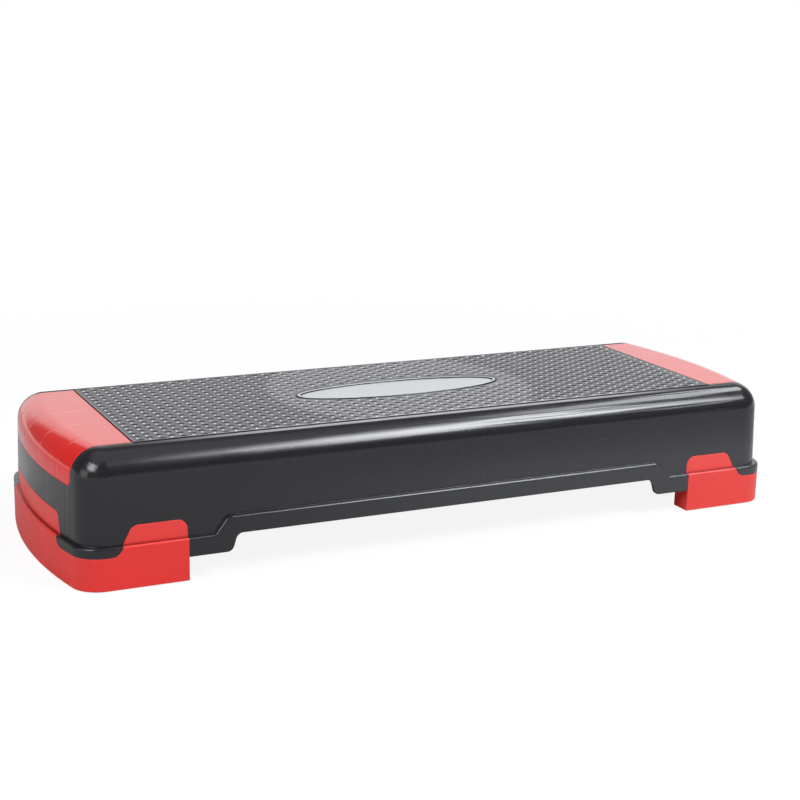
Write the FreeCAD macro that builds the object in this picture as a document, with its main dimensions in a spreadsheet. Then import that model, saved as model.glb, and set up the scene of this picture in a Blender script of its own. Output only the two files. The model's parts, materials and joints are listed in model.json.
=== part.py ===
import FreeCAD, Part
import Sketcher
import math
import os

# Aerobic step platform: a hollow ribbed deck with an inset tread and red end caps,
# standing on two U-shaped risers whose tabs plug up into the deck's castellated edge.
# Millimetres, +Z up, origin on the floor under the middle of the deck, +X along its length.

doc = FreeCAD.newDocument("AerobicStep")

# Driving dimensions
sizes = {
    # Whole platform
    "length": 780,
    "width": 276,
    "height": 128,
    "bow_radius": 530,
    "lip_corner": 27,
    "fit": 0.4,
    "seam": 0.2,
    "overrun": 5,
    # Deck shell
    "skin": 3,
    "wall_corner": 28,
    "wall_lean": 2.2,
    "top_round": 26,
    "ledge_depth": 4.5,
    "ledge_low": 41.5,
    "ledge_high": 57.5,
    "ledge_low_run": 25.5,
    "ledge_lean": 12,
    "ledge_dip_round": 3,
    "ledge_rise_round": 10,
    "ledge_edge_round": 2.2,
    "ledge_shift_share": 0.5,
    "skirt_low": 23.5,
    "skirt_high": 40.5,
    "skirt_foot": 41.5,
    "skirt_lean": 5,
    "skirt_round": 7,
    "foot_inset": 12.5,
    # Deck ribs
    "rib": 2.4,
    "rib_depth": 30,
    "long_rib_pitch": 48,
    "cross_rib_pitch": 60,
    "end_rib_inset": 43.8,
    "seat_rib_pitch": 26,
    # Tread and badge
    "tread_width": 212,
    "tread_thick": 2.8,
    "tread_proud": 0.6,
    "tread_corner": 2,
    "badge_length": 219,
    "badge_width": 55,
    "badge_thick": 1,
    "badge_sunk": 0.5,
    "badge_ring": 4.6,
    "badge_ring_sunk": 0.6,
    # End caps
    "cap_thick": 2.5,
    "cap_length": 73.8,
    "cap_width": 209,
    "cap_drop": 35.5,
    "cap_corner": 6,
    "cap_rib_pitch": 50,
    "screw_inset": 26,
    "screw_boss": 7,
    "screw_thread": 3,
    "screw_cover": 1.5,
    "screw_head": 8.4,
    "screw_head_thick": 2.2,
    # Risers
    "riser_reach": 116,
    "arm_width": 22.5,
    "notch": 32,
    "web": 3,
    "tab_top": 58.7,
    "tab_length": 51.5,
    "tab_lean": 14.1,
    "tab_round": 9.5,
    "tab_depth": 12,
    "end_tab_top": 61.5,
    "end_tab_width": 154,
    "end_tab_lean": 10,
    "end_tab_round": 8,
    "end_tab_depth": 30,
    "foot_round": 10.5,
    "u_round": 10,
    "riser_rib": 2.4,
    # Rubber pads
    "pad_width": 13,
    "pad_thick": 3,
    "pad_proud": 1,
    "pad_stem": 6,
    "pad_stem_length": 7,
    "pad_boss": 16,
    "pad_round": 0.8,
    "deck_pad_length": 22,
    "deck_pad_width": 13,
    "deck_pad_thick": 2.2,
    "deck_pad_round": 3,
}

sheet = doc.addObject("Spreadsheet::Sheet", "Sizes")
for row, (alias, value) in enumerate(sizes.items(), 1):
    sheet.set(f"A{row}", alias)
    sheet.set(f"B{row}", str(value))
    sheet.setAlias(f"B{row}", alias)
doc.recompute()


# Expressions that several pieces share
deck_top = "(Sizes.height - Sizes.tread_proud)"
half_length = "(Sizes.length / 2)"
half_width = "(Sizes.width / 2)"
bow_centre = "(Sizes.bow_radius - Sizes.length / 2)"
arm_end = "(Sizes.length / 2 - Sizes.riser_reach)"
ledge_low_x = f"({arm_end} - Sizes.ledge_low_run)"
ledge_high_x = f"({ledge_low_x} - Sizes.ledge_lean)"
skirt_low_x = f"({arm_end} - Sizes.skirt_foot)"
skirt_high_x = f"({skirt_low_x} - Sizes.skirt_lean)"
tread_recess = "(Sizes.tread_thick - Sizes.tread_proud)"
plate_under = f"({deck_top} - {tread_recess} - Sizes.skin)"
cap_start = "(Sizes.length / 2 - Sizes.cap_length)"
tread_end = f"({cap_start} - Sizes.seam)"
cap_bottom = f"({deck_top} - Sizes.cap_drop)"
cap_seat = "(Sizes.cap_thick + Sizes.seam)"
arm_inner = f"({half_width} - Sizes.arm_width)"
sides = (("left", -1), ("right", 1))
ends = (("front", -1), ("back", 1))

# How close two places lie when they count as one
match = 1e-4


def size(alias):
    return float(sheet.get(alias))


# The rolled top edge stays tighter than the corners that it runs round
top_radius = min(size("top_round"), size("wall_corner") - size("seam"))

# How far the walls lean in, in degrees
wall_rise = size("height") - size("tread_proud") - size("ledge_low")
lean_angle = math.degrees(math.atan(size("wall_lean") / wall_rise))


def add(kind, name, x="0", y="0", z="0", turn=None, **expressions):
    item = doc.addObject(kind, name)
    if turn:
        item.Placement.Rotation = FreeCAD.Rotation(*turn)
    for path, expression in expressions.items():
        item.setExpression(path, expression)
    for axis, expression in (("x", x), ("y", y), ("z", z)):
        item.setExpression(f"Placement.Base.{axis}", expression)
    return item


def box(name, x0, x1, y0, y1, z0, z1):
    return add("Part::Box", name, x0, y0, z0, Length=f"{x1} - ({x0})",
               Width=f"{y1} - ({y0})", Height=f"{z1} - ({z0})")


def post(name, diameter, x, y, z0, z1):
    return add("Part::Cylinder", name, x, y, z0, Radius=f"{diameter} / 2", Height=f"{z1} - ({z0})")


def fuse(name, *shapes):
    item = doc.addObject("Part::MultiFuse", name)
    item.Shapes = list(shapes)
    item.Refine = True
    return item


def common(name, *shapes):
    item = doc.addObject("Part::MultiCommon", name)
    item.Shapes = list(shapes)
    return item


def cut(name, base, tool):
    item = doc.addObject("Part::Cut", name)
    item.Base = base
    item.Tool = tool
    item.Refine = True
    return item


def rounded(name, base, radius, chosen):
    doc.recompute()
    item = doc.addObject("Part::Fillet", name)
    item.Base = base
    item.Edges = [(number, radius, radius) for number, edge in enumerate(base.Shape.Edges, 1) if chosen(edge)]
    doc.recompute()
    return item


def runs_along(edge, axis, least):
    # True where a straight or nearly straight edge spans at least that far along one axis.
    spans = [edge.BoundBox.XLength, edge.BoundBox.YLength, edge.BoundBox.ZLength]
    return spans[axis] > least and spans[axis] == max(spans)


def lies_at(edge, height):
    return all(abs(vertex.Z - height) < match for vertex in edge.Vertexes)


# A closed outline of straight runs, whose corners are tied to the sheet
def outline(name, corners, turn, body=None):
    maker = body.newObject if body else doc.addObject
    sketch = maker("Sketcher::SketchObject", name)
    sketch.Placement.Rotation = FreeCAD.Rotation(*turn)
    count = len(corners)
    points = [FreeCAD.Vector(sketch.evalExpression(u), sketch.evalExpression(v), 0) for u, v in corners]
    for index in range(count):
        sketch.addGeometry(Part.LineSegment(points[index], points[(index + 1) % count]), False)
    for index in range(count):
        sketch.addConstraint(Sketcher.Constraint("Coincident", index, 2, (index + 1) % count, 1))
    for index, (u, v) in enumerate(corners):
        for kind, expression, value in (("DistanceX", u, points[index].x), ("DistanceY", v, points[index].y)):
            number = sketch.addConstraint(Sketcher.Constraint(kind, -1, 1, index, 1, value))
            sketch.setExpression(f"Constraints[{number}]", expression)
    return sketch


upright_turn = (FreeCAD.Vector(1, 0, 0), 90)
endwise_turn = (FreeCAD.Vector(1, 1, 1), 120)


def prism(name, corners, turn, start, end):
    # Drawn in X and Z it runs along Y, drawn in Y and Z it runs along X.
    sketch = outline(name + "Outline", corners, turn)
    item = doc.addObject("Part::Extrusion", name)
    item.Base = sketch
    item.DirMode = "Custom"
    item.Dir = FreeCAD.Vector(0, 1, 0) if turn is upright_turn else FreeCAD.Vector(1, 0, 0)
    item.Solid = True
    item.setExpression("LengthFwd", end)
    item.setExpression("LengthRev", f"-({start})")
    return item


def round_corner(name, base, radius, axis, places):
    # Rounds the long edges of a prism that stand over the given places of its outline.
    first, second = [index for index in range(3) if index != axis]
    spots = [[base.evalExpression(value) for value in place] for place in places]

    def chosen(edge):
        if len(edge.Vertexes) < 2:
            return False
        start, finish = [tuple(vertex.Point) for vertex in edge.Vertexes]
        if abs(start[axis] - finish[axis]) < match:
            return False
        return any(abs(start[first] - u) < match and abs(start[second] - v) < match
                   and abs(finish[first] - u) < match and abs(finish[second] - v) < match for u, v in spots)
    return rounded(name, base, radius, chosen)


# Outer forms, each of which can be drawn inset by a wall
def wall_form(name, inset, bottom, top):
    lean = f"(Sizes.wall_lean / ({deck_top} - Sizes.ledge_low))"
    low = f"({bottom} - Sizes.ledge_low) * {lean}"
    high = f"({top} - Sizes.ledge_low) * {lean}"
    half = f"({half_width} - Sizes.ledge_depth - {inset})"
    bow = f"(Sizes.bow_radius - Sizes.ledge_depth - {inset})"
    flanks = add("Part::Wedge", name + "Flanks", turn=upright_turn, Xmin="-Sizes.length", Xmax="Sizes.length",
                 X2min="-Sizes.length", X2max="Sizes.length", Ymin=bottom, Ymax=top,
                 Zmin=f"-({half} - {low})", Zmax=f"{half} - {low}",
                 Z2min=f"-({half} - {high})", Z2max=f"{half} - {high}")
    under = f"({bottom} - Sizes.length)"
    bows = [add("Part::Cylinder", f"{name}Bow{side}",
                f"{-sign} * ({bow_centre} + ({under} - Sizes.ledge_low) * {lean})", "0", under,
                turn=(FreeCAD.Vector(0, 1, 0), -sign * lean_angle), Radius=f"{bow} * cos(atan({lean}))",
                Height="2 * Sizes.length") for side, sign in sides]
    block = common(name + "Block", flanks, *bows)
    doc.recompute()
    drop = block.evalExpression(inset)
    tall = block.Shape.BoundBox.ZLength / 2
    corners = rounded(name + "Corners", block, size("wall_corner") - drop,
                      lambda edge: runs_along(edge, 2, tall))
    peak = block.evalExpression(top)
    return rounded(name, corners, top_radius - drop, lambda edge: lies_at(edge, peak))


def lip_form(name, inset, bottom):
    low = f"(Sizes.ledge_low - {inset})"
    high = f"(Sizes.ledge_high - {inset})"
    shift = f"{inset} * Sizes.ledge_shift_share"
    reach = f"({half_width} - {inset})"
    top = f"({high} + Sizes.overrun)"
    slab = box(name + "Slab", "-Sizes.length", "Sizes.length", f"-{reach}", reach, bottom, top)
    bows = [add("Part::Cylinder", f"{name}Bow{side}", f"{-sign} * {bow_centre}", "0", bottom,
                turn=(FreeCAD.Vector(0, 0, 1), 90 + 90 * sign), Radius=f"Sizes.bow_radius - {inset}",
                Height=f"{top} - ({bottom})") for side, sign in sides]
    block = common(name + "Block", slab, *bows)
    doc.recompute()
    drop = block.evalExpression(inset)
    tall = block.Shape.BoundBox.ZLength / 2
    corners = rounded(name + "Corners", block, size("lip_corner") - drop,
                      lambda edge: runs_along(edge, 2, tall))
    dip = f"({ledge_low_x} - {shift})"
    rise = f"({ledge_high_x} - {shift})"
    under = f"{bottom} - Sizes.overrun"
    ledge = [("-Sizes.length", under), ("-Sizes.length", low), (f"-{dip}", low), (f"-{rise}", high),
             (rise, high), (dip, low), ("Sizes.length", low), ("Sizes.length", under)]
    below = prism(name + "Below", ledge, upright_turn, "-Sizes.width", "Sizes.width")
    dips = round_corner(name + "Dips", below, size("ledge_dip_round"), 1, [(f"-{dip}", low), (dip, low)])
    rises = round_corner(name + "Rises", dips, size("ledge_rise_round"), 1,
                         [(f"-{rise}", high), (rise, high)])
    return common(name, corners, rises)


def on_ledge(edge):
    # The outer edges of the ledge, not the lines that cross the platform.
    return edge.BoundBox.ZMin > size("ledge_low") - match and edge.BoundBox.XLength > match


def riser_zone(name, gap):
    # The space of the right-hand riser and its tabs, widened by a gap where the deck makes room for it.
    slab = box(name + "Slab", f"{arm_end} - {gap}", "Sizes.length", "-Sizes.width", "Sizes.width",
               "-Sizes.overrun", "Sizes.notch")
    near_side = f"({arm_end} - {gap})"
    top = f"(Sizes.tab_top + {gap})"
    far_side = f"({arm_end} + Sizes.tab_length + {gap})"
    foot = f"({far_side} + Sizes.tab_lean)"
    side_view = [(near_side, "0"), (near_side, top), (far_side, top), (foot, "Sizes.notch"),
                 ("Sizes.length", "Sizes.notch"), ("Sizes.length", "0")]
    across = prism(name + "Across", side_view, upright_turn, "-Sizes.width", "Sizes.width")
    tab_tops = round_corner(name + "TabTops", across, size("tab_round"), 1,
                            [(near_side, top), (far_side, top)])
    tab_feet = round_corner(name + "TabFeet", tab_tops, size("foot_round"), 1, [(foot, "Sizes.notch")])
    reach = f"({half_width} - Sizes.tab_depth)"
    middle = box(name + "Middle", "0", "2 * Sizes.length", f"-{reach}", reach,
                 "-Sizes.overrun", "Sizes.height")
    end_top = f"(Sizes.end_tab_top + {gap})"
    half = f"(Sizes.end_tab_width / 2 + {gap})"
    end_foot = f"({half} + Sizes.end_tab_lean)"
    end_view = [("-Sizes.width", "0"), ("-Sizes.width", "Sizes.notch"), (f"-{end_foot}", "Sizes.notch"),
                (f"-{half}", end_top), (half, end_top), (end_foot, "Sizes.notch"),
                ("Sizes.width", "Sizes.notch"), ("Sizes.width", "0")]
    endwise = prism(name + "Endwise", end_view, endwise_turn,
                    f"{half_length} - Sizes.end_tab_depth", "Sizes.length")
    end_tops = round_corner(name + "EndTops", endwise, size("end_tab_round"), 0,
                            [(f"-{half}", end_top), (half, end_top)])
    end_feet = round_corner(name + "EndFeet", end_tops, size("foot_round"), 0,
                            [(f"-{end_foot}", "Sizes.notch"), (end_foot, "Sizes.notch")])
    return fuse(name, slab, cut(name + "Tabs", tab_feet, middle), end_feet)


def mirrored(name, source):
    item = doc.addObject("Part::Mirroring", name)
    item.Source = source
    item.Normal = FreeCAD.Vector(1, 0, 0)
    return item


def oval(name, length, breadth, z0, z1):
    ring = add("Part::Ellipse", name + "Ring", z=z0, MajorRadius=f"{length} / 2",
               MinorRadius=f"{breadth} / 2")
    item = doc.addObject("Part::Extrusion", name)
    item.Base = ring
    item.DirMode = "Custom"
    item.Dir = FreeCAD.Vector(0, 0, 1)
    item.Solid = True
    item.setExpression("LengthFwd", f"{z1} - ({z0})")
    return item


# A turned piece: half its section, in radius and height, revolved about its own upright axis
def turned(name, section, x, y, z):
    body = doc.addObject("PartDesign::Body", name)
    plane = [item for item in body.Origin.OriginFeatures if item.Role == "XZ_Plane"][0]
    sketch = outline(name + "Section", section, upright_turn, body)
    sketch.AttachmentSupport = [(plane, "")]
    sketch.MapMode = "FlatFace"
    spin = body.newObject("PartDesign::Revolution", name + "Spin")
    spin.Profile = sketch
    spin.ReferenceAxis = (sketch, ["V_Axis"])
    spin.Angle = 360
    body.Tip = spin
    for axis, expression in (("x", x), ("y", y), ("z", z)):
        body.setExpression(f"Placement.Base.{axis}", expression)
    return body


nodes = {}


def piece(label, item):
    item.Label = label
    nodes[label] = item
    return item


# The skin that deck and risers share
outer_wall = wall_form("OuterWall", "0", "Sizes.pad_proud", deck_top)
outer_lip = rounded("OuterLipEdge", lip_form("OuterLip", "0", "Sizes.pad_proud"),
                    size("ledge_edge_round"), on_ledge)
outer = fuse("Outer", outer_wall, outer_lip)
inner_wall = wall_form("InnerWall", "Sizes.skin", "-Sizes.overrun", plate_under)
inner_lip = lip_form("InnerLip", "Sizes.skin", "-Sizes.overrun")
inner = fuse("Inner", inner_wall, inner_lip)

# End caps, flush with the skin, and the seats that they lie in
pilot = "(Sizes.screw_thread + 2 * Sizes.seam)"
screw_x = f"({cap_start} + Sizes.screw_inset)"
screw_row_shares = ("-1.5", "-0.5", "0.5", "1.5")
cap_underside = f"({deck_top} - Sizes.cap_thick)"
cap_plate = f"({deck_top} - {cap_seat})"
cap_plate_under = f"({cap_plate} - Sizes.skin)"
screw_length = f"({deck_top} - Sizes.screw_cover - {cap_plate_under})"


def cap_region(name, gap):
    reach = f"(Sizes.cap_width / 2 + {gap})"
    low = f"({cap_bottom} - {gap})"
    frame = [(f"-{reach}", low), (f"-{reach}", "2 * Sizes.height"), (reach, "2 * Sizes.height"), (reach, low)]
    block = prism(name + "Block", frame, endwise_turn, f"{cap_start} - {gap}", "Sizes.length")
    return round_corner(name, block, size("cap_corner"), 0, [(f"-{reach}", low), (reach, low)])


cap_core = wall_form("CapCore", "Sizes.cap_thick", "Sizes.pad_proud", cap_underside)
cap_skin = cut("CapSkin", common("CapBlock", outer_wall, cap_region("CapRegion", "0")), cap_core)
cap_bosses = [post(f"CapBoss{row}", "Sizes.screw_boss", screw_x, f"{place} * Sizes.cap_rib_pitch",
                   f"{cap_plate_under} + Sizes.seam", f"{cap_underside} + Sizes.cap_thick / 2")
              for row, place in enumerate(screw_row_shares)]
cap_pilots = [post(f"CapPilot{row}", pilot, screw_x, f"{place} * Sizes.cap_rib_pitch", cap_plate_under,
                   f"{cap_plate_under} + {screw_length} + Sizes.seam")
              for row, place in enumerate(screw_row_shares)]
cap_solid = fuse("CapSolid", cap_skin, *cap_bosses)
end_cap = piece("end_cap_right", cut("EndCap", cap_solid, fuse("CapPilots", *cap_pilots)))
piece("end_cap_left", mirrored("EndCapLeft", end_cap))

seat_core = wall_form("SeatCore", cap_seat, "Sizes.pad_proud", cap_plate)
cap_pocket = cut("CapPocket", cap_region("CapPocketRegion", "Sizes.seam"), seat_core)
backing_core = wall_form("BackingCore", f"({cap_seat} + Sizes.skin)", "Sizes.pad_proud", cap_plate_under)
cap_backing = cut("CapBacking", cap_region("CapBackingRegion", "Sizes.skin"), backing_core)
screw_holes = [post(f"ScrewHole{row}", "(Sizes.screw_boss + 2 * Sizes.seam)", screw_x,
                    f"{place} * Sizes.cap_rib_pitch", f"{cap_plate_under} - Sizes.overrun", deck_top)
               for row, place in enumerate(screw_row_shares)]

# Screws that hold the caps from inside the deck
screw_section = [("0", "-Sizes.screw_head_thick"), ("Sizes.screw_head / 2", "-Sizes.screw_head_thick"),
                 ("Sizes.screw_head / 2", "0"), ("Sizes.screw_thread / 2", "0"),
                 ("Sizes.screw_thread / 2", screw_length), ("0", screw_length)]
for side, sign in sides:
    screws = doc.addObject("Part::Compound", f"CapScrews_{side}")
    screws.Links = [turned(f"CapScrew_{side}_{row}", screw_section, f"{sign} * {screw_x}",
                           f"{place} * Sizes.cap_rib_pitch", cap_plate_under)
                    for row, place in enumerate(screw_row_shares)]
    piece(f"end_cap_screws_{side}", screws)

# Tread mat, let into the top round the badge's ring
ring_length = "(Sizes.badge_length + 2 * Sizes.badge_ring)"
ring_width = "(Sizes.badge_width + 2 * Sizes.badge_ring)"
tread_floor = f"({deck_top} - {tread_recess})"


def tread_block(name, gap, bottom, top):
    along = f"({tread_end} + {gap})"
    across = f"(Sizes.tread_width / 2 + {gap})"
    slab = box(name + "Slab", f"-{along}", along, f"-{across}", across, bottom, top)
    return rounded(name, slab, size("tread_corner"), lambda edge: edge.BoundBox.ZLength > match)


mat = tread_block("MatBlock", "-Sizes.seam / 2", tread_floor, "Sizes.height")
mat_hole = oval("MatHole", f"({ring_length} + 2 * Sizes.seam)", f"({ring_width} + 2 * Sizes.seam)",
                f"{tread_floor} - Sizes.overrun", "Sizes.height + Sizes.overrun")
piece("tread_mat", cut("TreadMat", mat, mat_hole))
ring_top = f"({deck_top} - Sizes.badge_ring_sunk)"
ring_boss = oval("RingBoss", ring_length, ring_width, f"{tread_floor} - Sizes.overrun", ring_top)
tread_pocket = cut("TreadPocket", tread_block("PocketBlock", "Sizes.seam / 2", tread_floor,
                                              "Sizes.height + Sizes.overrun"), ring_boss)

# Badge plate, sunk a little inside its ring
badge_top = f"({ring_top} - Sizes.badge_sunk)"
badge_floor = f"({badge_top} - Sizes.badge_thick)"
badge_pocket = oval("BadgePocket", "(Sizes.badge_length + 2 * Sizes.seam)",
                    "(Sizes.badge_width + 2 * Sizes.seam)", badge_floor, "Sizes.height + Sizes.overrun")
piece("badge_plate", oval("BadgePlate", "Sizes.badge_length", "Sizes.badge_width", badge_floor, badge_top))

# Deck ribs, feet and backing, all moulded in one with the shell
rib_low = f"({plate_under} - Sizes.rib_depth)"
ribs = []
long_ribs = int(size("width") / 2 / size("long_rib_pitch"))
for row in range(-long_ribs, long_ribs + 1):
    place = f"{row} * Sizes.long_rib_pitch"
    ribs.append(box(f"LongRib{row + long_ribs}", "-Sizes.length", "Sizes.length", f"{place} - Sizes.rib / 2",
                    f"{place} + Sizes.rib / 2", rib_low, "Sizes.height"))
# The last cross rib stands a set way past the cap's inner edge, clear of the screws
end_rib = f"({cap_start} + Sizes.end_rib_inset)"
end_rib_place = size("length") / 2 - size("cap_length") + size("end_rib_inset")
cross_ribs = round(end_rib_place / size("cross_rib_pitch"))
for row in range(-cross_ribs, cross_ribs + 1):
    place = f"{row} * {end_rib} / {cross_ribs}"
    ribs.append(box(f"CrossRib{row + cross_ribs}", f"{place} - Sizes.rib / 2", f"{place} + Sizes.rib / 2",
                    "-Sizes.width", "Sizes.width", rib_low, "Sizes.height"))
end_seat = f"({half_length} - Sizes.arm_width)"
seat_top = f"({rib_low} + Sizes.overrun)"
end_ribs = int(size("end_tab_width") / 2 / size("long_rib_pitch"))
seat_ribs = int((size("riser_reach") - size("arm_width")) / size("seat_rib_pitch"))
foot_start = f"({skirt_low_x} + Sizes.foot_inset)"
foot_end = f"({arm_end} - Sizes.fit)"
for side, sign in sides:
    for row in range(-end_ribs, end_ribs + 1):
        place = f"{row} * Sizes.long_rib_pitch"
        near, far = (end_seat, "Sizes.length") if sign > 0 else ("-Sizes.length", f"-{end_seat}")
        ribs.append(box(f"EndSeat_{side}_{row + end_ribs}", near, far, f"{place} - Sizes.rib / 2",
                        f"{place} + Sizes.rib / 2", "Sizes.notch", seat_top))
    for end, flip in ends:
        low, high = (arm_inner, half_width) if flip > 0 else (f"-{half_width}", f"-{arm_inner}")
        for row in range(seat_ribs):
            place = f"{sign} * ({arm_end} + Sizes.seat_rib_pitch * {row + 1})"
            ribs.append(box(f"ArmSeat_{side}_{end}_{row}", f"{place} - Sizes.rib / 2",
                            f"{place} + Sizes.rib / 2", low, high, "Sizes.notch", seat_top))
        near, far = (foot_start, foot_end) if sign > 0 else (f"-{foot_end}", f"-{foot_start}")
        web_low, web_high = (low, f"{low} + Sizes.rib") if flip > 0 else (f"{high} - Sizes.rib", high)
        ribs.append(box(f"FootPlate_{side}_{end}", near, far, low, high, "Sizes.skirt_low",
                        "Sizes.skirt_low + Sizes.skin"))
        ribs.append(box(f"FootWeb_{side}_{end}", near, far, web_low, web_high,
                        "Sizes.skirt_low", "Sizes.ledge_high"))
        for name, start in (("Near", near), ("Far", f"{far} - Sizes.rib")):
            ribs.append(box(f"Foot{name}_{side}_{end}", start, f"{start} + Sizes.rib", low, high,
                            "Sizes.skirt_low", "Sizes.ledge_high"))
kept = fuse("Kept", *ribs, cap_backing, mirrored("CapBackingLeft", cap_backing))
cavity = cut("Cavity", inner, kept)

# Rubber pads under the deck's own feet
deck_pad_x = f"(({foot_start} + {foot_end}) / 2)"
deck_pad_y = f"({half_width} - Sizes.arm_width / 2)"


def deck_pad(name, x, y, gap):
    low = "(Sizes.skirt_low - Sizes.pad_proud)"
    along = f"(Sizes.deck_pad_length / 2 + {gap})"
    across = f"(Sizes.deck_pad_width / 2 + {gap})"
    slab = box(name + "Slab", f"{x} - {along}", f"{x} + {along}", f"{y} - {across}", f"{y} + {across}",
               low, f"{low} + Sizes.deck_pad_thick")
    return rounded(name, slab, size("deck_pad_round"),
                   lambda edge: runs_along(edge, 2, size("deck_pad_thick") / 2))


pad_pockets = []
for side, sign in sides:
    for end, flip in ends:
        spot = (f"{sign} * {deck_pad_x}", f"{flip} * {deck_pad_y}")
        piece(f"deck_pad_{side}_{end}", deck_pad(f"DeckPad_{side}_{end}", *spot, "0"))
        pad_pockets.append(deck_pad(f"DeckPadPocket_{side}_{end}", *spot, "Sizes.seam"))

# Deck shell
low_x = skirt_low_x
high_x = skirt_high_x
skirt = [("-Sizes.length", "-Sizes.overrun"), ("-Sizes.length", "Sizes.skirt_low"),
         (f"-{low_x}", "Sizes.skirt_low"), (f"-{high_x}", "Sizes.skirt_high"), (high_x, "Sizes.skirt_high"),
         (low_x, "Sizes.skirt_low"), ("Sizes.length", "Sizes.skirt_low"), ("Sizes.length", "-Sizes.overrun")]
under_skirt = prism("UnderSkirtBlock", skirt, upright_turn, "-Sizes.width", "Sizes.width")
under_skirt = round_corner("UnderSkirt", under_skirt, size("skirt_round"), 1,
                           [(f"-{low_x}", "Sizes.skirt_low"), (f"-{high_x}", "Sizes.skirt_high"),
                            (high_x, "Sizes.skirt_high"), (low_x, "Sizes.skirt_low")])
riser_room = riser_zone("RiserRoom", "Sizes.fit")
screw_room = fuse("ScrewRoom", *screw_holes)
rooms = fuse("Rooms", riser_room, mirrored("RiserRoomLeft", riser_room), under_skirt, cap_pocket,
             mirrored("CapPocketLeft", cap_pocket), tread_pocket, badge_pocket)
details = fuse("Details", screw_room, mirrored("ScrewRoomLeft", screw_room), *pad_pockets)
shell = cut("Shell", cut("DeckOuter", outer, rooms), cavity)
piece("deck_shell", cut("DeckShell", shell, details))

# Risers: a U-shaped box section, open below, with tabs along its outer wall
u_block = box("RiserGapBlock", "0", end_seat, f"-{arm_inner}", arm_inner, "-Sizes.overrun", "Sizes.height")
u_gap = rounded("RiserGap", u_block, size("u_round"),
                lambda edge: runs_along(edge, 2, size("notch")) and edge.BoundBox.XMin > size("u_round"))
u_wall_block = box("RiserGapWallBlock", "0", f"{end_seat} + Sizes.skin", f"-({arm_inner} + Sizes.skin)",
                   f"{arm_inner} + Sizes.skin", "-2 * Sizes.overrun", "Sizes.height")
u_wall = rounded("RiserGapWall", u_wall_block, size("u_round") + size("skin"),
                 lambda edge: runs_along(edge, 2, size("notch")) and edge.BoundBox.XMin > size("u_round"))
riser_block = common("RiserBlock", outer, riser_zone("RiserZone", "0"))
over_web = common("OverWeb", inner, box("OverWebBox", "0", "Sizes.length", "-Sizes.width", "Sizes.width",
                                        "Sizes.notch", "Sizes.height"))
web_under = "(Sizes.notch - Sizes.web)"
under_web = common("UnderWeb", inner_lip, box("UnderWebBox", f"{arm_end} + Sizes.skin", "Sizes.length",
                                              "-Sizes.width", "Sizes.width", "-Sizes.overrun", web_under))
riser_solids = [u_wall]
for row in range(-end_ribs, end_ribs + 1):
    place = f"{row} * Sizes.long_rib_pitch"
    riser_solids.append(box(f"RiserEndRib{row + end_ribs}", "0", "Sizes.length",
                            f"{place} - Sizes.riser_rib / 2", f"{place} + Sizes.riser_rib / 2",
                            "-2 * Sizes.overrun", "Sizes.notch"))
for row in range(seat_ribs):
    place = f"({arm_end} + Sizes.seat_rib_pitch * {row + 1})"
    riser_solids.append(box(f"RiserArmRib{row}", f"{place} - Sizes.riser_rib / 2",
                            f"{place} + Sizes.riser_rib / 2", "-Sizes.width", "Sizes.width",
                            "-2 * Sizes.overrun", "Sizes.notch"))
pad_y = f"({half_width} - Sizes.arm_width / 2)"
pad_near = f"({arm_end} + Sizes.skin + Sizes.pad_boss / 2)"
pad_far = f"({half_length} - Sizes.lip_corner - Sizes.pad_boss)"
pad_spots = [(inward, end, x, f"{flip} * {pad_y}") for end, flip in ends
             for inward, x in (("inner", pad_near), ("outer", pad_far))]
pad_rooms = []
for inward, end, x, y in pad_spots:
    riser_solids.append(post(f"PadBoss_{end}_{inward}", "Sizes.pad_boss", x, y,
                             "Sizes.pad_thick", "Sizes.notch"))
    pad_rooms.append(post(f"PadRoom_{end}_{inward}", "(Sizes.pad_width + 2 * Sizes.seam)", x, y,
                          "-2 * Sizes.overrun", "Sizes.pad_thick"))
    pad_rooms.append(post(f"StemRoom_{end}_{inward}", "(Sizes.pad_stem + 2 * Sizes.seam)", x, y, "0",
                          "Sizes.pad_thick + Sizes.pad_stem_length + Sizes.seam"))
riser_hollow = cut("RiserHollow", under_web, fuse("RiserSolids", *riser_solids))
riser_shell = cut("RiserShell", riser_block, fuse("RiserRooms", u_gap, over_web, *pad_rooms))
riser = piece("riser_right", cut("Riser", riser_shell, riser_hollow))
piece("riser_left", mirrored("RiserLeft", riser))

pad_edge = "(Sizes.pad_width / 2 - Sizes.pad_round)"
pad_section = [("0", "0"), (pad_edge, "0"), ("Sizes.pad_width / 2", "Sizes.pad_round"),
               ("Sizes.pad_width / 2", "Sizes.pad_thick"), ("Sizes.pad_stem / 2", "Sizes.pad_thick"),
               ("Sizes.pad_stem / 2", "Sizes.pad_thick + Sizes.pad_stem_length"),
               ("0", "Sizes.pad_thick + Sizes.pad_stem_length")]
for side, sign in sides:
    for inward, end, x, y in pad_spots:
        name = f"riser_pad_{side}_{end}_{inward}"
        piece(name, turned("Turned_" + name, pad_section, f"{sign} * {x}", y, "0"))

# Check every object, then write each piece to its own file
doc.recompute()
faults = [item.Name for item in doc.Objects if "Invalid" in item.State or "Error" in item.State]
if faults:
    raise RuntimeError(f"failed objects: {faults}")
for label, item in nodes.items():
    if item.Shape.isNull() or not item.Shape.isValid() or not item.Shape.Solids:
        raise RuntimeError(f"{label} has no valid solid")
os.makedirs("parts", exist_ok=True)
for label, item in nodes.items():
    item.Shape.exportStep(f"parts/{label}.step")
    print(label, len(item.Shape.Solids), round(item.Shape.Volume))
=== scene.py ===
import bpy
import bmesh
import json
import math
from mathutils import Matrix, Vector

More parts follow.
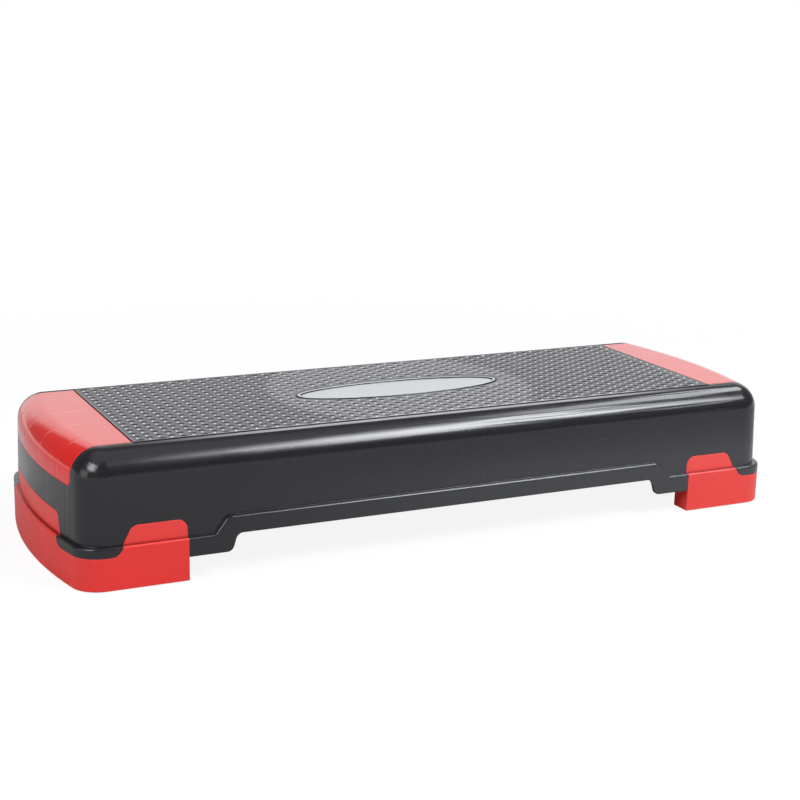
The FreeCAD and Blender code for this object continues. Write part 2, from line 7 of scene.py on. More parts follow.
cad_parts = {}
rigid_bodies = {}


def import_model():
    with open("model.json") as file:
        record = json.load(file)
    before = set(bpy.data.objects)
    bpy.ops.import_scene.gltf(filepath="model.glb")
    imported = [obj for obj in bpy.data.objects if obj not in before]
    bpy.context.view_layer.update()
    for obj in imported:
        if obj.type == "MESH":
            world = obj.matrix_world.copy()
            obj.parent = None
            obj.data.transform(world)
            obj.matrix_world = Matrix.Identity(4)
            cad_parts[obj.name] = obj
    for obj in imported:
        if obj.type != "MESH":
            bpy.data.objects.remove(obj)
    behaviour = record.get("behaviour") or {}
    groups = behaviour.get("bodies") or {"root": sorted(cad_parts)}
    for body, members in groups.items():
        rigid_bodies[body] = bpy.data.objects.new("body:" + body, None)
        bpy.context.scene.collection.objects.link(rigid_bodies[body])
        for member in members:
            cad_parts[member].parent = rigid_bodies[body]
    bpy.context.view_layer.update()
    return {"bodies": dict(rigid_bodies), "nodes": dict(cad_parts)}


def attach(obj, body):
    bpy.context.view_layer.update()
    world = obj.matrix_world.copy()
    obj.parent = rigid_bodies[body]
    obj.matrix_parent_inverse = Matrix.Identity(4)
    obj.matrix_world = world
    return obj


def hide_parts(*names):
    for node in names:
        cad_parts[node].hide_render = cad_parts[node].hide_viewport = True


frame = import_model()
mm = 0.001


# Shader sums: a socket that takes part in Python expressions
class Wire:
    def __init__(self, finish, socket):
        self.finish, self.socket = finish, socket

    def joined(self, operation, first, second):
        return self.finish.node("Math", {"operation": operation}, {0: first, 1: second})

    def __add__(self, other):
        return self.joined("ADD", self, other)

    def __sub__(self, other):
        return self.joined("SUBTRACT", self, other)

    def __rsub__(self, other):
        return self.joined("SUBTRACT", other, self)

    def __mul__(self, other):
        return self.joined("MULTIPLY", self, other)

    def __truediv__(self, other):
        return self.joined("DIVIDE", self, other)

    def __rtruediv__(self, other):
        return self.joined("DIVIDE", other, self)

    def __mod__(self, other):
        return self.joined("FLOORED_MODULO", self, other)

    def __abs__(self):
        return self.finish.node("Math", {"operation": "ABSOLUTE"}, {0: self})

    __radd__ = __add__
    __rmul__ = __mul__


# Rounded edges in the shading: rays per point, and how far the rounding has to bend the surface
edgeLook = {"samples": 6, "bent": (0.995, 0.8)}


# One node tree and the nodes that every finish here uses
class Finish:
    def __init__(self, owner):
        owner.use_nodes = True
        self.tree = owner.node_tree
        self.tree.nodes.clear()

    def node(self, kind, settings=None, sockets=None, out=0):
        made = self.tree.nodes.new("ShaderNode" + kind)
        for name, value in (settings or {}).items():
            setattr(made, name, value)
        for name, value in (sockets or {}).items():
            if isinstance(value, Wire):
                self.tree.links.new(value.socket, made.inputs[name])
            else:
                made.inputs[name].default_value = value
        return Wire(self, made.outputs[out]) if made.outputs else None

    def place(self):
        return self.node("TexCoord", out="Object")

    def parts(self, vector):
        split = self.node("SeparateXYZ", None, {0: vector}).socket.node
        return [Wire(self, socket) for socket in split.outputs]

    def ramp(self, value, low, high):
        return self.node("MapRange", {"interpolation_type": "SMOOTHSTEP"},
                         {"Value": value, "From Min": low, "From Max": high})

    def noise(self, place, feature, detail=2.0, rough=0.5):
        return self.node("TexNoise", None, {"Vector": place, "Scale": 1 / feature,
                                            "Detail": detail, "Roughness": rough})

    def cloud(self, place, feature):
        # broad uneven patches with finer ones in them
        return self.noise(place, feature, 4.0, 0.6)

    def stretched(self, place, scale, turn=(0, 0, 0)):
        return self.node("Mapping", {"vector_type": "TEXTURE"},
                         {"Vector": place, "Rotation": turn, "Scale": scale})

    def streaks(self, place, mark):
        # long thin marks that run one way
        scale = (mark["reach"], mark["breadth"], mark["breadth"])
        laid = self.stretched(place, scale, mark["turn"])
        return self.ramp(self.noise(laid, 1.0, 1.0), *mark["shown"])

    def sinks(self, x, y, look):
        # faint hollows on an end wall, over the ribs behind it
        half = look["ribPitch"] * 0.5
        rib = abs(((y + half) % look["ribPitch"]) - half)
        return self.ramp(rib, look["sinkHalf"], 0.0) * self.ramp(abs(x), *look["endWall"])

    def blend(self, share, first, second):
        return self.node("Mix", {"data_type": "RGBA"}, {0: share, 6: first, 7: second}, out=2)

    def dot(self, first, second):
        return self.node("VectorMath", {"operation": "DOT_PRODUCT"},
                         {0: first, 1: second}, out="Value")

    def softEdge(self, radius):
        # the normal with small edges rounded, and how much of an edge is there
        eased = self.node("Bevel", {"samples": edgeLook["samples"]}, {"Radius": radius})
        plain = self.node("NewGeometry", out="Normal")
        return eased, self.ramp(self.dot(eased, plain), *edgeLook["bent"])

    def bump(self, height, depth, under=None, strength=1.0):
        sockets = {"Height": height, "Distance": depth, "Strength": strength}
        if under:
            sockets["Normal"] = under
        return self.node("Bump", None, sockets)

    def grain(self, place, look, under):
        fine = self.noise(place, look["grainSize"])
        return self.bump(fine, look["grainDepth"], under, look["grainStrength"])

    def mixed(self, share, first, second):
        return self.node("MixShader", None, {0: share, 1: first, 2: second})

    def rays(self):
        path = self.node("LightPath").socket.node.outputs
        return [Wire(self, path[f"Is {kind} Ray"]) for kind in ("Camera", "Glossy", "Transmission")]

    def surface(self, shader):
        self.node("OutputMaterial", None, {"Surface": shader})

    def plastic(self, **sockets):
        named = {name.replace("_", " "): value for name, value in sockets.items()}
        self.surface(self.node("BsdfPrincipled", None, named))


def newFinish(name):
    material = bpy.data.materials.new(name)
    return material, Finish(material)


plasticIor = 1.5

# Deck: black moulded plastic, half gloss, with sink marks on the end walls and handling marks
deckLook = {
    "black": (0.0100, 0.0102, 0.0128, 1),
    "scuffAndShineGrey": (0.075, 0.077, 0.082, 1),
    "gloss": 0.15,
    "cloudSize": 60 * mm,
    "cloudGloss": 0.12,
    "edgeRound": 0.7 * mm,
    "edgeShare": 0.35,
    "ribPitch": 48 * mm,
    "sinkHalf": 3.2 * mm,
    "sinkDepth": 0.12 * mm,
    "endWall": (368 * mm, 372 * mm),
    "waveSize": 70 * mm,
    "waveDepth": 0.35 * mm,
    # thin marks of handling, in patches
    "patchSize": 110 * mm,
    "patchShown": (0.50, 0.66),
    "fineMarks": {"turn": (0.2, 0.35, 0.1), "reach": 26 * mm, "breadth": 0.55 * mm,
                  "shown": (0.66, 0.74)},
    "crossMarks": {"turn": (0.5, -0.8, 0.9), "reach": 18 * mm, "breadth": 0.45 * mm,
                   "shown": (0.69, 0.76)},
    "markShare": 0.2,
    "markGloss": 0.08,
    # fine lines that the mould left along the right half of the rounding
    "drawnScale": (150 * mm, 4.5 * mm, 4.5 * mm),
    "drawnDepth": 0.5 * mm,
    "drawnFrom": (-40 * mm, 80 * mm),
    "drawnEnd": (350 * mm, 320 * mm),
    "drawnLow": (99 * mm, 106 * mm),
    # a painted highlight on the flat rim in front of the tread, in the middle, and the rim is matt
    # behind it
    "rimHighlightGrey": (0.38, 0.38, 0.40, 1),
    "rimHeight": (126.2 * mm, 126.8 * mm),
    "rimLength": (330 * mm, 160 * mm),
    "rimFront": (-100 * mm, -104 * mm),
    "rimBack": (100 * mm, 104 * mm),
    "rimMatt": 0.5,
    "grainSize": 0.55 * mm,
    "grainDepth": 0.004 * mm,
    "grainStrength": 0.5,
    # painted floor reflection: the walls are painted paler low down, and more to the right
    "paintedLightHeight": (105 * mm, 45 * mm),
    "paintedLightLength": (-340 * mm, 150 * mm),
    "paintedLightShare": 0.46,
}


def deckFinish():
    look = deckLook
    material, shade = newFinish("deckBlack")
    place = shade.place()
    x, y, z = shade.parts(place)
    eased, edge = shade.softEdge(look["edgeRound"])
    patch = shade.ramp(shade.noise(place, look["patchSize"]), *look["patchShown"])
    fine, cross = [shade.streaks(place, look[kind]) for kind in ("fineMarks", "crossMarks")]
    marks = (fine + cross) * patch
    cloud = shade.cloud(place, look["cloudSize"])
    lighten = shade.ramp(z, *look["paintedLightHeight"]) * shade.ramp(x, *look["paintedLightLength"])
    # paling mixes handling marks and worn edges with the painted floor reflection
    paling = marks * look["markShare"] + edge * look["edgeShare"] + lighten * look["paintedLightShare"]
    rim = shade.ramp(z, *look["rimHeight"])
    # painted highlight along the front rim
    rimHighlight = rim * shade.ramp(abs(x), *look["rimLength"]) * shade.ramp(y, *look["rimFront"])
    matt = rim * shade.ramp(y, *look["rimBack"])
    colour = shade.blend(paling, look["black"], look["scuffAndShineGrey"])
    colour = shade.blend(rimHighlight, colour, look["rimHighlightGrey"])
    wave = shade.bump(shade.noise(place, look["waveSize"], 1.0), look["waveDepth"], eased)
    sunk = shade.bump(1 - shade.sinks(x, y, look), look["sinkDepth"], wave)
    along = shade.ramp(x, *look["drawnFrom"]) * shade.ramp(x, *look["drawnEnd"])
    lines = shade.noise(shade.stretched(place, look["drawnScale"]), 1.0, 1.0)
    drawn = shade.bump(lines * along * shade.ramp(z, *look["drawnLow"]), look["drawnDepth"], sunk)
    grain = shade.grain(place, look, drawn)
    rough = cloud * look["cloudGloss"] + marks * look["markGloss"] + matt * look["rimMatt"]
    shade.plastic(Base_Color=colour, Roughness=look["gloss"] + rough, Normal=grain, IOR=plasticIor)
    return material


# Caps: glossy red plastic with faint sink lines over the ribs beneath
capLook = {
    "red": (0.82, 0.010, 0.005, 1),
    "deep": (0.72, 0.006, 0.003, 1),
    "dusty": (0.80, 0.09, 0.09, 1),
    "gloss": 0.05,
    "cloudSize": 45 * mm,
    "cloudDetail": 3.0,
    "cloudGloss": 0.06,
    "edgeRound": 2.6 * mm,
    "edgeShare": 0.1,
    "edgeGloss": 0.45,
    "patchSize": 80 * mm,
    "patchShown": (0.5, 0.65),
    "fineMarks": {"turn": (0.1, 0.2, 0.6), "reach": 22 * mm, "breadth": 0.40 * mm,
                  "shown": (0.68, 0.76)},
    "markShare": 0.25,
    "markGloss": 0.2,
    "ribPitch": 50 * mm,
    "sinkHalf": 2.4 * mm,
    "sinkDepth": 0.14 * mm,
    "innerLine": 323 * mm,
    "waveSize": 50 * mm,
    "waveDepth": 0.25 * mm,
    "grainSize": 0.7 * mm,
    "grainDepth": 0.01 * mm,
    "grainStrength": 0.3,
    # the flat top shines more than the flanks
    "shineHeight": (117 * mm, 126 * mm),
    "flankShine": 0.06,
    "topShine": 0.42,
    "coatGloss": 0.06,
}


def capFinish():
    look = capLook
    material, shade = newFinish("capRed")
    place = shade.place()
    x, y, z = shade.parts(place)
    eased, edge = shade.softEdge(look["edgeRound"])
    cloud = shade.noise(place, look["cloudSize"], look["cloudDetail"])
    patch = shade.ramp(shade.noise(place, look["patchSize"]), *look["patchShown"])
    marks = shade.streaks(place, look["fineMarks"]) * patch
    tone = shade.blend(cloud, look["red"], look["deep"])
    colour = shade.blend(marks * look["markShare"] + edge * look["edgeShare"], tone, look["dusty"])
    rib = abs((y % look["ribPitch"]) - look["ribPitch"] * 0.5)
    across = shade.ramp(rib, look["sinkHalf"], 0.0)
    along = shade.ramp(abs(abs(x) - look["innerLine"]), look["sinkHalf"], 0.0)
    wave = shade.bump(shade.noise(place, look["waveSize"], 1.0), look["waveDepth"], eased)
    sunk = shade.bump(1 - across - along, look["sinkDepth"], wave)
    grain = shade.grain(place, look, sunk)
    top = shade.ramp(z, *look["shineHeight"])
    shine = look["flankShine"] + top * (look["topShine"] - look["flankShine"])
    rough = cloud * look["cloudGloss"] + marks * look["markGloss"] + edge * look["edgeGloss"]
    shade.plastic(Base_Color=colour, Roughness=look["gloss"] + rough, Normal=grain, IOR=plasticIor,
                  Coat_Weight=shine * (1 - edge), Coat_Roughness=look["coatGloss"])
    return material


# Risers: the same red with a satin skin
riserLook = {
    "red": (0.82, 0.030, 0.023, 1),
    "deep": (0.74, 0.022, 0.017, 1),
    "rubbedAndLitRed": (0.92, 0.13, 0.11, 1),
    "gloss": 0.33,
    "cloudSize": 35 * mm,
    "cloudGloss": 0.10,
    "edgeRound": 0.9 * mm,
    "edgeShare": 0.4,
    # painted light: the right riser paler towards its right end, and the tabs paler than the lip,
    # where they lean back
    "paintedLightLength": (0.0, 360 * mm),
    "paintedLightShare": 0.24,
    "tabHeight": (42.0 * mm, 44.0 * mm),
    "tabShare": 0.16,
    # painted shade: the dark line in the crevice where a tab stands on the lip
    "creviceShade": (0.30, 0.004, 0.005, 1),
    "creviceFoot": (41.2 * mm, 41.5 * mm),
    "creviceHead": (42.4 * mm, 41.95 * mm),
    "creviceShare": 0.9,
    # thin marks in patches, and scuffs near the floor
    "patchSize": 70 * mm,
    "patchShown": (0.48, 0.64),
    "fineMarks": {"turn": (0.3, 0.15, 0.2), "reach": 20 * mm, "breadth": 0.45 * mm,
                  "shown": (0.67, 0.75)},
    "scuffHeight": (9 * mm, 0.0),
    "scuffShown": (0.5, 0.7),
    "scuffShare": 0.5,
    "markShare": 0.3,
    "markGloss": 0.15,
    "ribPitch": 48 * mm,
    "sinkHalf": 3.0 * mm,
    "sinkDepth": 0.10 * mm,
    "endWall": (372 * mm, 376 * mm),
    "waveSize": 45 * mm,
    "waveDepth": 0.25 * mm,
    "grainSize": 0.6 * mm,
    "grainDepth": 0.03 * mm,
    "grainStrength": 0.5,
}


def riserFinish():
    look = riserLook
    material, shade = newFinish("riserRed")
    place = shade.place()
    x, y, z = shade.parts(place)
    eased, edge = shade.softEdge(look["edgeRound"])
    cloud = shade.cloud(place, look["cloudSize"])
    patch = shade.ramp(shade.noise(place, look["patchSize"]), *look["patchShown"])
    scuffs = shade.ramp(z, *look["scuffHeight"]) * shade.ramp(cloud, *look["scuffShown"])
    marks = shade.streaks(place, look["fineMarks"]) * patch + scuffs * look["scuffShare"]
    lighten = shade.ramp(x, *look["paintedLightLength"]) * look["paintedLightShare"]
    tabs = shade.ramp(z, *look["tabHeight"]) * look["tabShare"]
    tone = shade.blend(cloud, look["red"], look["deep"])
    # pale mixes marks and worn edges with the painted light
    pale = marks * look["markShare"] + edge * look["edgeShare"] + lighten + tabs
    # painted shade in the crevice
    creviceShade = shade.ramp(z, *look["creviceFoot"]) * shade.ramp(z, *look["creviceHead"])
    colour = shade.blend(pale, tone, look["rubbedAndLitRed"])
    colour = shade.blend(creviceShade * look["creviceShare"], colour, look["creviceShade"])
    sunk = shade.bump(1 - shade.sinks(x, y, look), look["sinkDepth"], eased)
    wave = shade.bump(shade.noise(place, look["waveSize"], 1.0), look["waveDepth"], sunk)
    grain = shade.grain(place, look, wave)
    rough = cloud * look["cloudGloss"] + marks * look["markGloss"]
    shade.plastic(Base_Color=colour, Roughness=look["gloss"] + rough, Normal=grain, IOR=plasticIor)
    return material


# Tread: grey rubber with rows of pips painted bright as highlights, and a short curved groove
# behind each, painted dark as shade
tread = {
    "half": (315.2 * mm, 105.2 * mm),
    "corner": 2.0 * mm,
    "cornerSteps": 6,
    "hole": (115.2 * mm, 33.2 * mm),
    "holeSides": 128,
    "holeMargin": 3.0 * mm,
    "floor": 125.2 * mm,
    "ground": 127.62 * mm,
    # inset and height of each line of the slope round the hole, from the hole out
    "holeRim": ((0.0, 126.95 * mm), (0.4 * mm, 127.08 * mm), (2.6 * mm, 127.62 * mm)),
    # inset and height of each line of the raised border, from the outside in
    "border": ((0.0, 127.50 * mm), (0.12 * mm, 127.76 * mm), (0.35 * mm, 127.92 * mm),
               (0.70 * mm, 127.97 * mm), (1.05 * mm, 127.92 * mm), (1.30 * mm, 127.76 * mm),
               (1.45 * mm, 127.62 * mm)),
    "pitch": 11.87 * mm,
    "edgeMargin": 1.6 * mm,
    # radius and height of each ring of a pip, from its buried foot up
    "pip": ((1.45 * mm, 127.30 * mm), (1.40 * mm, 127.66 * mm), (1.20 * mm, 127.84 * mm),
            (0.70 * mm, 127.96 * mm)),
    "pipTip": 127.99 * mm,
    "pipSides": 12,
    "grooveReach": 4.1 * mm,
    "grooveHalf": 1.6 * mm,
    "grooveBend": 0.8 * mm,
    "grooveShift": 1.4 * mm,
    "grooveFloor": 127.0 * mm,
}

treadLook = {
    "rubber": (0.065, 0.067, 0.079, 1),
    "grooveShadeBlack": (0.006, 0.006, 0.008, 1),
    "glintGrey": (0.92, 0.93, 0.96, 1),
    "gloss": 0.30,
    "cloudSize": 40 * mm,
    "cloudGloss": 0.10,
    "mottleSize": 3.0 * mm,
    "mottleShown": (0.3, 0.7),
    "mottleShare": 0.25,
    "speckSize": 0.9 * mm,
    "speckDepth": 0.02 * mm,
    "speckStrength": 0.5,
    # painted sheen: the round zone about the badge is painted paler, and it is smoother
    "zoneSheenRubber": (0.133, 0.136, 0.153, 1),
    "zoneReach": (142 * mm, 134 * mm),
    "zoneShare": 0.6,
    "zoneGloss": 0.05,
    # grooves are told by their depth under the ground, pips by their height over it
    "grooveDepth": (0.06 * mm, 0.25 * mm),
    "grooveGloss": 0.15,
    "slopeEdge": (0.99, 1.0),
    "pipHeight": (0.03 * mm, 0.12 * mm),
    "pipShare": (0.75, 0.4),
    "pipGloss": 0.15,
    # the border takes a little of the painted glint, a painted sheen along its front in the middle,
    # and painted shade, black, on its side
    "borderWidth": 1.7 * mm,
    "borderSoft": 0.05 * mm,
    "borderGlint": 0.2,
    "paleWidth": 3.4 * mm,
    "paleSoft": 0.6 * mm,
    "paleLength": (330 * mm, 160 * mm),
    "paleShare": 0.35,
    "sideWidth": 0.25 * mm,
    "sideSoft": 0.1 * mm,
}


def treadFinish():
    look = treadLook
    material, shade = newFinish("treadGrey")
    place = shade.place()
    x, y, z = shade.parts(place)
    cloud = shade.cloud(place, look["cloudSize"])
    mottle = shade.ramp(shade.noise(place, look["mottleSize"], 3.0, 0.6), *look["mottleShown"])
    sheenZone = shade.ramp(x * x + y * y, *[reach * reach for reach in look["zoneReach"]])
    ovalX, ovalY = [line / (half + tread["holeMargin"])
                    for line, half in zip((x, y), tread["hole"])]
    offSlope = shade.ramp(ovalX * ovalX + ovalY * ovalY, *look["slopeEdge"])
    deep = shade.ramp(z, *[tread["ground"] - depth for depth in look["grooveDepth"]]) * offSlope

    def within(width, soft):
        # 1 farther in than this from the outer edge
        lines = [shade.ramp(abs(line), half - width + soft, half - width - soft)
                 for line, half in zip((x, y), tread["half"])]
        return lines[0] * lines[1]

    inner = within(look["borderWidth"], look["borderSoft"])
    side = 1 - within(look["sideWidth"], look["sideSoft"])
    # painted sheen along the front of the border, in the middle
    front = tread["half"][1] - look["paleWidth"]
    pale = shade.ramp(0 - y, front - look["paleSoft"], front + look["paleSoft"])
    pale = pale * shade.ramp(abs(x), *look["paleLength"])
    raised = shade.ramp(z, *[tread["ground"] + height for height in look["pipHeight"]])
    pip = raised * (look["borderGlint"] + inner * (1 - look["borderGlint"]))
    # painted sheen about the badge
    zoned = sheenZone * (look["zoneShare"] + cloud * look["zoneShare"])
    ground = shade.blend(zoned, look["rubber"], look["zoneSheenRubber"])
    # painted shade in the grooves, mixed with random mottle
    shadeAndMottle = shade.ramp(deep + (1 - mottle) * look["mottleShare"], 0.0, 1.0)
    colour = shade.blend(shadeAndMottle, ground, look["grooveShadeBlack"])
    # painted highlight: the pip tops, and a little of the border, painted near white as glints
    pipGlint = pip * (look["pipShare"][0] + cloud * look["pipShare"][1])
    colour = shade.blend(pipGlint, colour, look["glintGrey"])
    colour = shade.blend(pale * look["paleShare"], colour, look["glintGrey"])
    # painted shade on the border's outer side
    colour = shade.blend(side, colour, look["grooveShadeBlack"])
    rough = cloud * look["cloudGloss"] + deep * look["grooveGloss"]
    rough = rough - pip * look["pipGloss"] - sheenZone * look["zoneGloss"]
    speck = shade.noise(place, look["speckSize"])
    shade.plastic(Base_Color=colour, Roughness=look["gloss"] + rough, IOR=plasticIor,
                  Normal=shade.bump(speck, look["speckDepth"], None, look["speckStrength"]))
    return material


# Outlines, the faces between them, and new pieces
sharpTurn = math.radians(40)


def roundedLoop(half, corner, inset, steps):
    points = []
    reach = (half[0] - corner, half[1] - corner)
    for quarter, (signX, signY) in enumerate(((1, 1), (-1, 1), (-1, -1), (1, -1))):
        for step in range(steps + 1):
            turn = math.radians(90 * quarter + 90 * step / steps)
            points.append((signX * reach[0] + (corner - inset) * math.cos(turn),
                           signY * reach[1] + (corner - inset) * math.sin(turn)))
    return points


def ovalLoop(half, grow, count):
    return [((half[0] + grow) * math.cos(2 * math.pi * step / count),
             (half[1] + grow) * math.sin(2 * math.pi * step / count)) for step in range(count)]


def addLoop(bm, points, height):
    return [bm.verts.new((px, py, height)) for px, py in points]


def joinLoops(bm, lower, upper):
    count = len(lower)
    for index in range(count):
        following = (index + 1) % count
        bm.faces.new((lower[index], lower[following], upper[following], upper[index]))


def joinStack(bm, loops):
    for lower, upper in zip(loops, loops[1:]):
        joinLoops(bm, lower, upper)


def fillBetween(bm, loops):
    edges = []
    for loop in loops:
        for index, vert in enumerate(loop):
            following = loop[(index + 1) % len(loop)]
            edges.append(bm.edges.get((vert, following)) or bm.edges.new((vert, following)))
    bmesh.ops.triangle_fill(bm, use_beauty=True, edges=edges)


def markSharp(bm):
    for edge in bm.edges:
        edge.smooth = edge.calc_face_angle(0.0) < sharpTurn


def addPiece(name, bm, body, material, node):
    mesh = bpy.data.meshes.new(name)
    bm.to_mesh(mesh)
    bm.free()
    for polygon in mesh.polygons:
        polygon.use_smooth = True
    mesh.materials.append(material)
    piece = bpy.data.objects.new(name, mesh)
    bpy.context.scene.collection.objects.link(piece)
    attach(piece, body)
    if node:
        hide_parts(node)
    return piece


def grooveLoop(px, py):
    # a leaf that bends round the pip behind it, out along one side and back along the other
    look = tread
    points = []
    out = [(share, 1) for share in (-1, -0.5, 0, 0.5, 1)]
    for share, side in out + [(share, -1) for share in (0.5, 0, -0.5)]:
        breadth = look["grooveHalf"] * math.sqrt(1 - share * share)
        points.append((px + share * look["grooveReach"],
                       py + look["grooveBend"] * share * share - side * breadth))
    return points


def treadPlaces():
    # pips on an even triangular grid, and a groove halfway to the next pip
    look = tread
    column = look["pitch"] * math.sqrt(3) / 2
    limit = [half - look["edgeMargin"] for half in look["half"]]
    hole = [half + look["holeMargin"] for half in look["hole"]]
    across = int(limit[0] / column)
    rows = int(limit[1] / look["pitch"]) + 1

    def clear(px, py, reach, breadth):
        inside = abs(px) < limit[0] - reach and abs(py) < limit[1] - breadth
        return inside and (px / (hole[0] + reach)) ** 2 + (py / (hole[1] + breadth)) ** 2 > 1

    pips, grooves = [], []
    foot = look["pip"][0][0]
    for cx in range(-across, across + 1):
        for cy in range(-rows, rows + 1):
            px, py = cx * column, (cy + 0.5 * (cx % 2)) * look["pitch"]
            if clear(px, py, foot, foot):
                pips.append((px, py))
            gx, gy = px + look["grooveShift"], py + look["pitch"] / 2
            if clear(gx, gy, look["grooveReach"], look["grooveHalf"] + look["grooveBend"]):
                grooves.append((gx, gy))
    return pips, grooves


def addPip(bm, px, py):
    look = tread
    rings = []
    for radius, height in look["pip"]:
        circle = ovalLoop((radius, radius), 0.0, look["pipSides"])
        rings.append(addLoop(bm, [(px + cx, py + cy) for cx, cy in circle], height))
    joinStack(bm, rings)
    tip = bm.verts.new((px, py, look["pipTip"]))
    top = rings[-1]
    for index in range(len(top)):
        bm.faces.new((top[index], top[(index + 1) % len(top)], tip))
    bm.faces.new(list(reversed(rings[0])))


def treadPiece(material):
    look = tread
    bm = bmesh.new()
    foot = (0.0, look["floor"])
    outer = [addLoop(bm, roundedLoop(look["half"], look["corner"], inset, look["cornerSteps"]),
                     height) for inset, height in (foot,) + look["border"]]
    inner = [addLoop(bm, ovalLoop(look["hole"], inset, look["holeSides"]), height)
             for inset, height in (foot,) + look["holeRim"]]
    joinStack(bm, outer)
    joinStack(bm, inner)
    fillBetween(bm, (outer[0], inner[0]))
    pips, grooves = treadPlaces()
    rims = [addLoop(bm, grooveLoop(gx, gy), look["ground"]) for gx, gy in grooves]
    fillBetween(bm, [outer[-1], inner[-1]] + rims)
    for rim in rims:
        sunk = addLoop(bm, [(vert.co.x, vert.co.y) for vert in rim], look["grooveFloor"])
        joinLoops(bm, sunk, rim)
        bm.faces.new(sunk)
    bmesh.ops.recalc_face_normals(bm, faces=bm.faces)
    for px, py in pips:
        addPip(bm, px, py)
    markSharp(bm)
    bmesh.ops.recalc_face_normals(bm, faces=bm.faces)
    addPiece("tread_surface", bm, "deck", material, "tread_mat")
    print("tread:", len(pips), "pips,", len(grooves), "grooves")


# Badge: a bare silver oval with a soft rim, sunk inside a ring that is silver on top
badge = {
    "half": (109.2 * mm, 27.2 * mm),
    "floor": 125.3 * mm,
    "rim": 126.55 * mm,
    "top": 126.9 * mm,
    "sides": 144,
    # inset of each line of the dome, and its share of the rise
    "dome": ((0.15, 0.35), (0.45, 0.60), (1.0, 0.72), (3.0, 0.80), (8.0, 0.90), (16.0, 0.97),
             (24.0, 1.0)),
    # the line along the middle of the ring, and the sections of its black foot and its silver top
    "ringHalf": (111.6 * mm, 29.6 * mm),
    "ringFoot": ((-1.8, 126.75), (-1.8, 127.60), (-1.6, 127.78), (1.3, 127.78), (1.9, 127.68),
                 (2.25, 127.40), (2.3, 126.75)),
    "ringTop": ((-1.5, 127.73), (-1.3, 127.86), (-0.7, 127.91), (-0.1, 127.92), (0.5, 127.91),
                (1.0, 127.86), (1.2, 127.73)),
}

badgeLook = {
    "silver": (0.68, 0.695, 0.715, 1),
    "shadeSilver": (0.61, 0.625, 0.645, 1),
    "metal": 0.35,
    "gloss": 0.36,
    "cloudSize": 30 * mm,
    "brushScale": (60 * mm, 0.35 * mm, 1.0),
    "shadeShare": 0.5,
    "fleckSize": 0.35 * mm,
    "fleckShare": 0.4,
    "fleckGloss": 0.12,
    "grainDepth": 0.01 * mm,
    "grainStrength": 0.4,
}


def badgeFinish():
    look = badgeLook
    material, shade = newFinish("badgeSilver")
    place = shade.place()
    cloud = shade.noise(place, look["cloudSize"], 3.0)
    lines = shade.noise(shade.stretched(place, look["brushScale"]), 1.0, 3.0)
    fleck = shade.noise(place, look["fleckSize"], 1.0)
    colour = shade.blend((cloud + lines) * look["shadeShare"], look["silver"], look["shadeSilver"])
    height = lines + fleck * look["fleckShare"]
    grain = shade.bump(height, look["grainDepth"], None, look["grainStrength"])
    shade.plastic(Base_Color=colour, Metallic=look["metal"], Normal=grain,
                  Roughness=look["gloss"] + fleck * look["fleckGloss"])
    return material


def badgePiece(material):
    look = badge
    bm = bmesh.new()
    rise = look["top"] - look["rim"]
    lines = [(0.0, look["floor"]), (0.0, look["rim"])]
    lines += [(-inset * mm, look["rim"] + rise * share) for inset, share in look["dome"]]
    rings = [addLoop(bm, ovalLoop(look["half"], grow, look["sides"]), height)
             for grow, height in lines]
    joinStack(bm, rings)
    bm.faces.new(rings[-1])
    bm.faces.new(list(reversed(rings[0])))
    bmesh.ops.recalc_face_normals(bm, faces=bm.faces)
    addPiece("badge_oval", bm, "deck", material, "badge_plate")


def ringPiece(name, section, material):
    look = badge
    bm = bmesh.new()
    lines = [addLoop(bm, ovalLoop(look["ringHalf"], grow * mm, look["sides"]), height * mm)
             for grow, height in look[section]]
    joinStack(bm, lines + lines[:1])
    markSharp(bm)
    bmesh.ops.recalc_face_normals(bm, faces=bm.faces)
    addPiece(name, bm, "deck", material, None)


# Pads and screws
padLook = {
    "rubber": (0.018, 0.018, 0.019, 1),
    "lighten": (0.075, 0.072, 0.068, 1),
    "gloss": 0.62,
    "cloudSize": 6 * mm,
    "cloudShown": (0.45, 0.75),
    "cloudShare": 0.4,
    "cloudGloss": 0.2,
    "edgeRound": 0.4 * mm,
    "edgeShare": 0.3,
    "speckSize": 0.5 * mm,
    "speckDepth": 0.05 * mm,
    "speckStrength": 0.5,
}
screwLook = {
    "steel": (0.52, 0.51, 0.49, 1),
    "dull": (0.30, 0.29, 0.28, 1),
    "gloss": 0.30,
    "cloudSize": 2.5 * mm,
    "cloudShown": (0.4, 0.7),
    "cloudGloss": 0.2,
    "edgeRound": 0.3 * mm,
    "edgeGloss": 0.1,
    "grainSize": 0.25 * mm,
    "grainDepth": 0.02 * mm,
    "grainStrength": 0.3,
}


def padFinish():
    look = padLook
    material, shade = newFinish("padRubber")
    place = shade.place()
    cloud = shade.cloud(place, look["cloudSize"])
    speck = shade.noise(place, look["speckSize"])
    eased, edge = shade.softEdge(look["edgeRound"])
    # paler dust in patches and on the edges
    paling = shade.ramp(cloud, *look["cloudShown"]) * look["cloudShare"] + edge * look["edgeShare"]
    shade.plastic(Base_Color=shade.blend(paling, look["rubber"], look["lighten"]),
                  Roughness=look["gloss"] + cloud * look["cloudGloss"],
                  Normal=shade.bump(speck, look["speckDepth"], eased, look["speckStrength"]))
    return material


